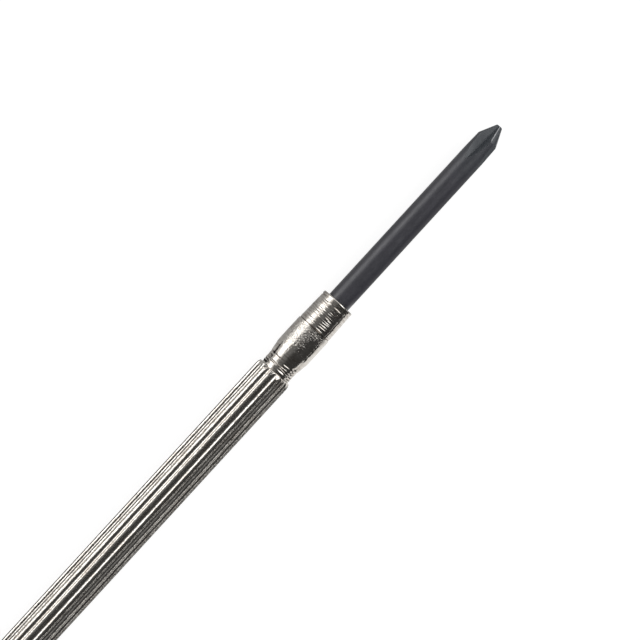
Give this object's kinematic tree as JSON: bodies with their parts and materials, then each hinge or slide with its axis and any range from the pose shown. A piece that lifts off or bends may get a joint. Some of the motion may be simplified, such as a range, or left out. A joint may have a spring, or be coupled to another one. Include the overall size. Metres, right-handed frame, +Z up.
{
  "type": "pocket screwdriver",
  "caption": "Slim pocket screwdriver: fluted nickel-plated barrel, turned nose, reversible black blade with cross and flat tips, sprung pocket clip and magnet in the end cap.",
  "frame": {"origin": "on the tool's axis, at the mouth of the nose, where the blade comes out", "axes": "+X along the tool towards the cross tip, +Z up from the surface the tool lies on, with the pocket clip low on the -Y side"},
  "size_m": [0.1234, 0.007, 0.005],
  "materials": {
    "barrel_nickel": "bright nickel plate on fluted brass",
    "turned_nickel": "bright nickel plate over lathe marks",
    "sheet_nickel": "bright nickel plate on stamped spring steel",
    "black_oxide": "satin black oxide",
    "spring_steel": "drawn spring steel",
    "magnet_plate": "plated sintered magnet"
  },
  "bodies": {
    "handle": {"barrel": "barrel_nickel", "nose": "turned_nickel", "retaining_ring": "spring_steel", "clip_eye": "sheet_nickel", "end_cap": "turned_nickel", "magnet": "magnet_plate"},
    "blade": {"blade": "black_oxide"},
    "clip": {"clip_arm": "sheet_nickel"}
  },
  "joints": [
    {"name": "blade_pull", "type": "slide", "parent": "handle", "child": "blade", "axis": [1, 0, 0], "range_m": [0, 0.0388]},
    {"name": "clip_flex", "type": "hinge", "parent": "handle", "child": "clip", "pos_m": [-0.0915, -0.00331, -0.0008], "axis": [0, 0.2352, -0.9719], "range_deg": [0, 5], "stiffness_Nm_per_rad": 0.5}
  ]
}
